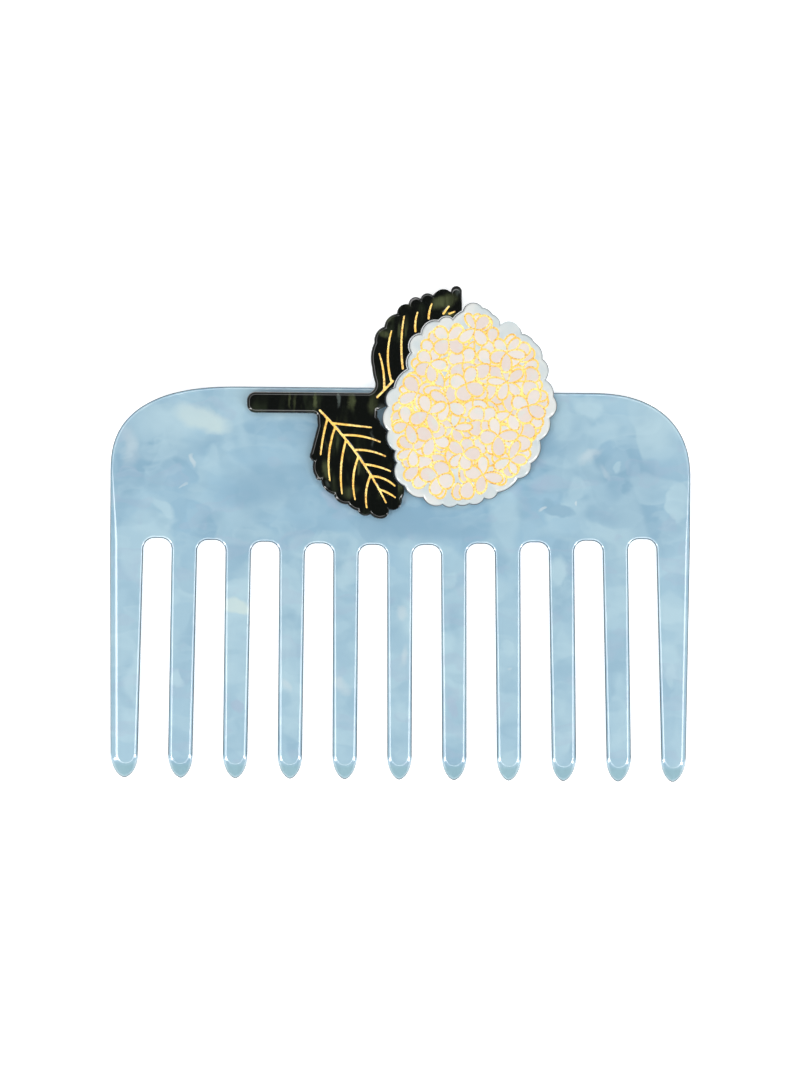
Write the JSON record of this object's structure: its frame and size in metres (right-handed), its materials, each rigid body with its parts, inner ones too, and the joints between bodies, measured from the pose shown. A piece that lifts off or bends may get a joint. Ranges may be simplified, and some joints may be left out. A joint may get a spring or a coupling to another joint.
{
  "type": "pocket comb",
  "caption": "Flat wide-tooth pocket comb with rounded upper corners and a glued ornament of a scalloped flower head and a leafy stem on its front face.",
  "frame": {"origin": "on the flat back face, in the middle of the whole outline", "axes": "+Z out of the decorated face, +Y from the tooth tips to the spine, +X to the right as the comb is seen from its decorated face"},
  "size_m": [0.102, 0.0868, 0.0067],
  "materials": {
    "blue_acetate": "polished, pale blue with cloudy lighter marbling",
    "green_acetate": "polished, near-black green with olive streaks",
    "pearl_acetate": "polished, pearly white",
    "gilding": "gold paint lying in the engraved lines"
  },
  "bodies": {
    "root": {"comb_plate": "blue_acetate", "leaf_spray": "green_acetate", "flower_head": "pearl_acetate", "leaf_veins": "gilding", "floret_lines": "gilding"}
  },
  "joints": []
}
